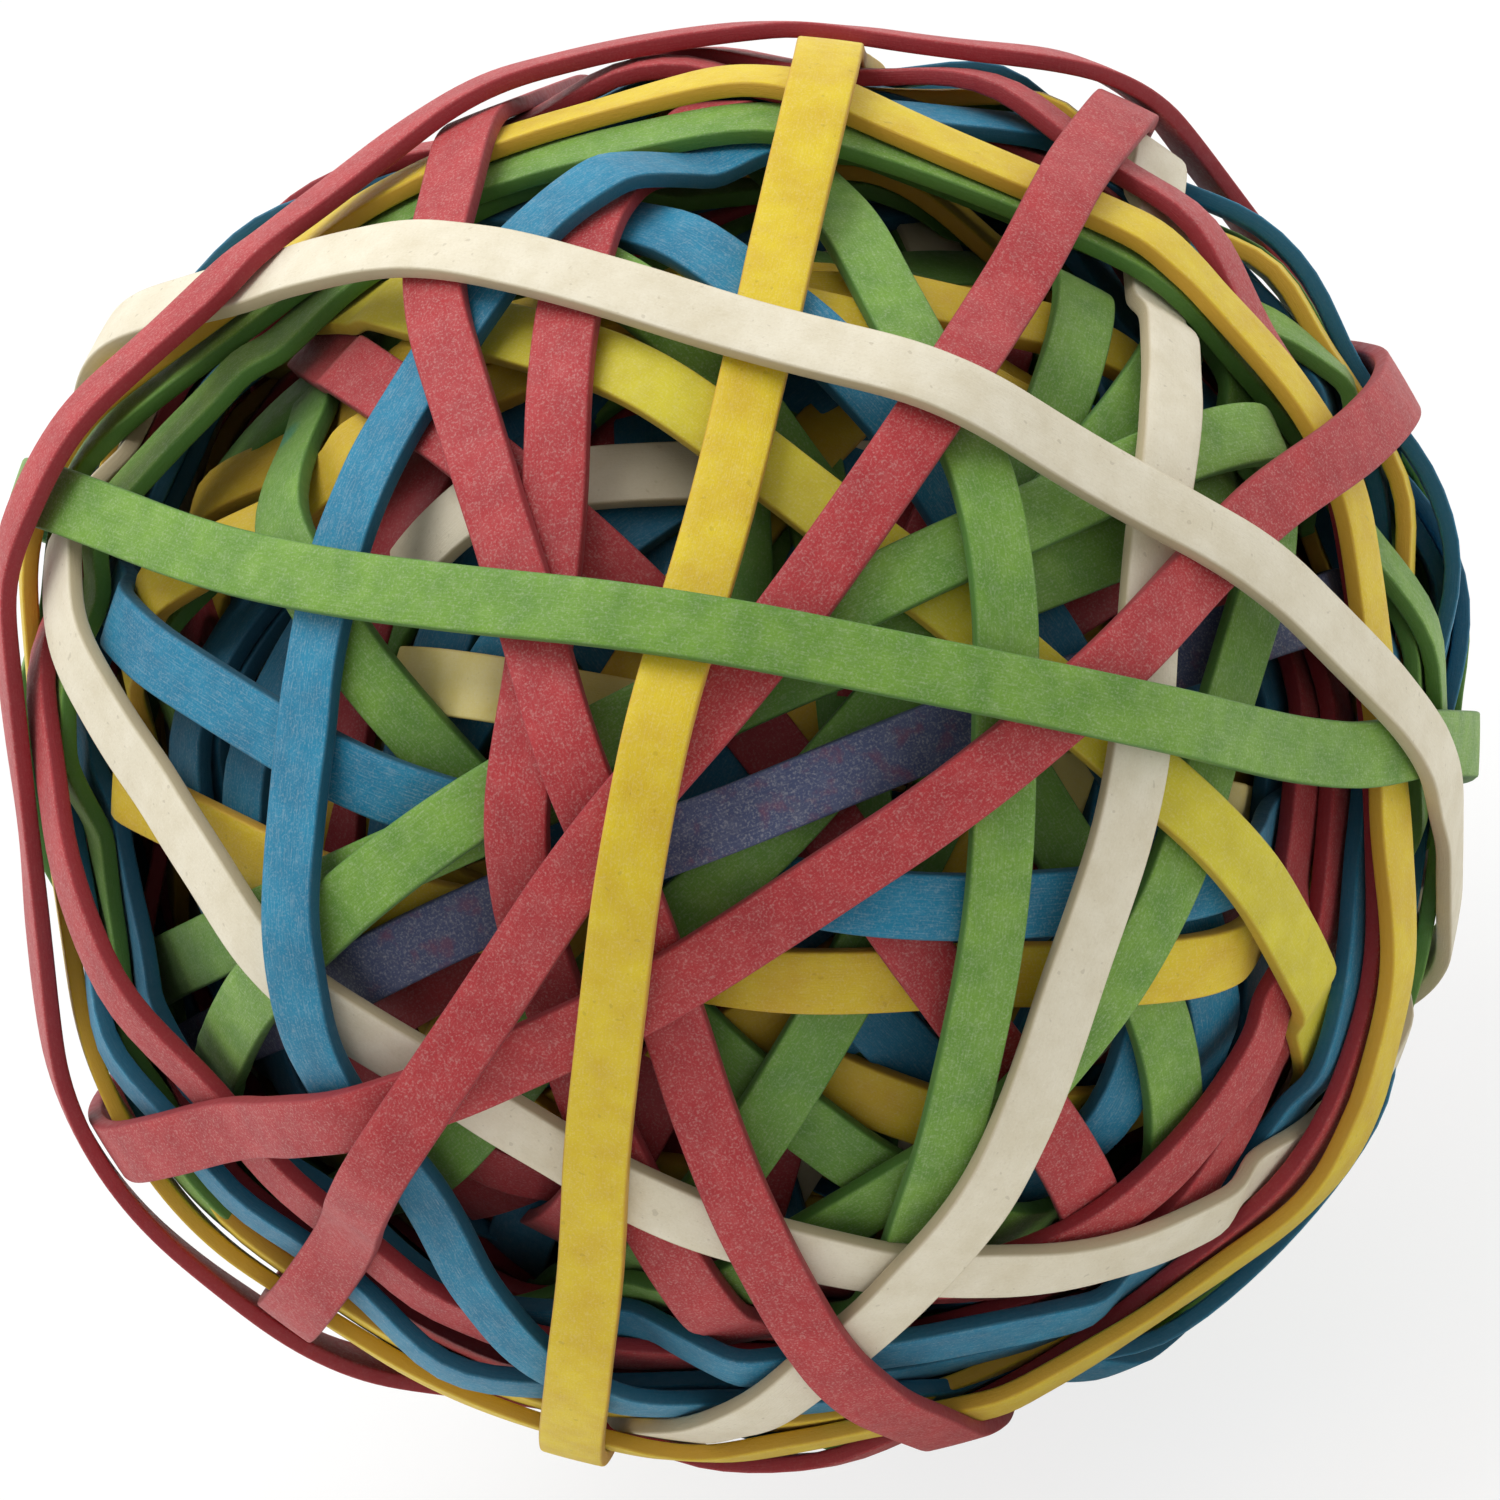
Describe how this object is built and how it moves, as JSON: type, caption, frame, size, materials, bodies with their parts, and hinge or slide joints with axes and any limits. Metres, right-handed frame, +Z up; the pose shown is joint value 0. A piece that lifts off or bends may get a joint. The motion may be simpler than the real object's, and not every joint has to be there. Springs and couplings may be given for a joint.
{
  "type": "rubber band ball",
  "caption": "Ball of coloured flat rubber bands wound taut in crossing layers over a wound inner mass.",
  "frame": {"origin": "centre of the bounding box, on the floor the ball rests on", "axes": "+Z up from the resting span, -Y towards the viewer of the pictured side, +X to the right"},
  "size_m": [0.0746, 0.0708, 0.0728],
  "materials": {
    "rubber_blue": "matte, dusted",
    "rubber_green": "matte, dusted",
    "rubber_inner": "matte, dusted",
    "rubber_lemon": "matte, dusted",
    "rubber_pale": "matte, dusted",
    "rubber_purple": "matte, dusted",
    "rubber_red": "matte, dusted",
    "rubber_white": "matte, dusted",
    "rubber_yellow": "matte, dusted"
  },
  "bodies": {
    "root": {"band_blue_left_arch": "rubber_blue", "band_blue_left_outer": "rubber_blue", "band_blue_left_rim": "rubber_blue", "band_blue_low_rim": "rubber_blue", "band_blue_lower_cross": "rubber_blue", "band_green_base_rim": "rubber_green", "band_green_girdle": "rubber_green", "band_green_left_limb": "rubber_green", "band_green_left_rise": "rubber_green", "band_green_lower_left": "rubber_green", "band_green_lower_right": "rubber_green", "band_green_right_deep": "rubber_green", "band_green_right_slant": "rubber_green", "band_green_upper_right": "rubber_green", "band_green_upper_rim": "rubber_green", "band_green_upright": "rubber_green", "band_purple_slant": "rubber_purple", "band_red_centre_sweep": "rubber_red", "band_red_diagonal": "rubber_red", "band_red_left_rim": "rubber_red", "band_red_left_upright": "rubber_red", "band_red_long_slant": "rubber_red", "band_red_right_low": "rubber_red", "band_red_wide_slant": "rubber_red", "band_white_crown": "rubber_white", "band_white_low_sweep": "rubber_white", "band_white_right_arch": "rubber_white", "band_white_upper_deep": "rubber_white", "band_yellow_lemon_slant": "rubber_lemon", "band_yellow_lower_cross": "rubber_yellow", "band_yellow_pale": "rubber_pale", "band_yellow_right_arch": "rubber_yellow", "band_yellow_upper_girdle": "rubber_yellow", "band_yellow_upper_slant": "rubber_yellow", "band_yellow_upright": "rubber_yellow", "inner_windings": "rubber_inner"}
  },
  "joints": []
}
